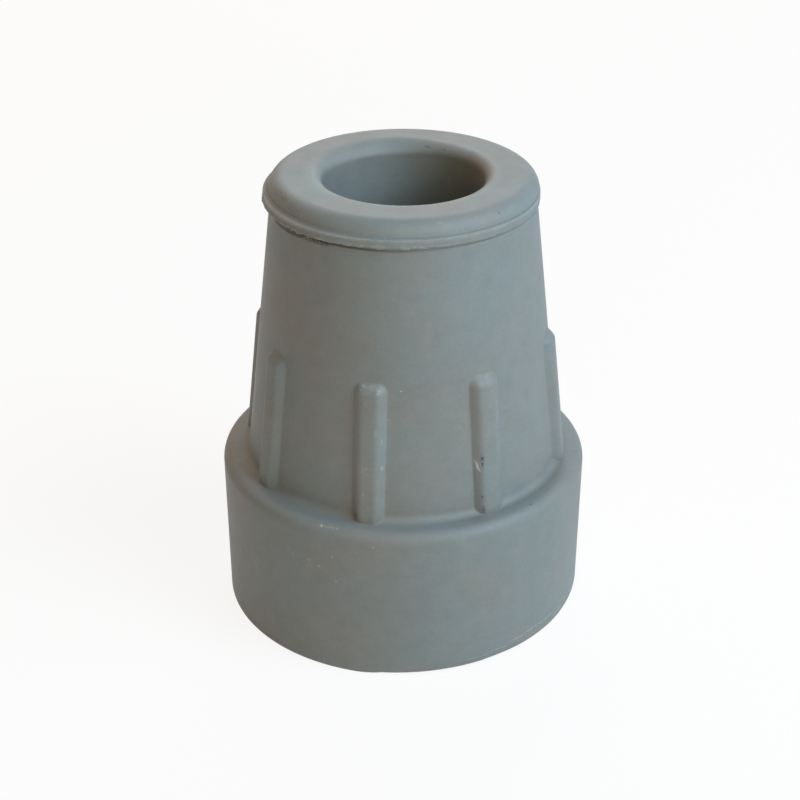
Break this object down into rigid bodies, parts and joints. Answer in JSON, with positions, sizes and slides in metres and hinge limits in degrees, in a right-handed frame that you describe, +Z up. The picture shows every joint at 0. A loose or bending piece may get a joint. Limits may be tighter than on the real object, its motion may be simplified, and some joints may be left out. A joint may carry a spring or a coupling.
{
  "type": "cane tip",
  "caption": "Round rubber ferrule with a ribbed tapering sleeve and a blind bore that pushes onto the end of a walking cane.",
  "frame": {"origin": "centre of the tread, on the ground", "axes": "+Z up along the bore axis, out of the mouth; -Y towards the front"},
  "size_m": [0.045, 0.045, 0.0557],
  "materials": {
    "moulded_rubber": "matt"
  },
  "bodies": {
    "root": {"cane_tip": "moulded_rubber"}
  },
  "joints": []
}
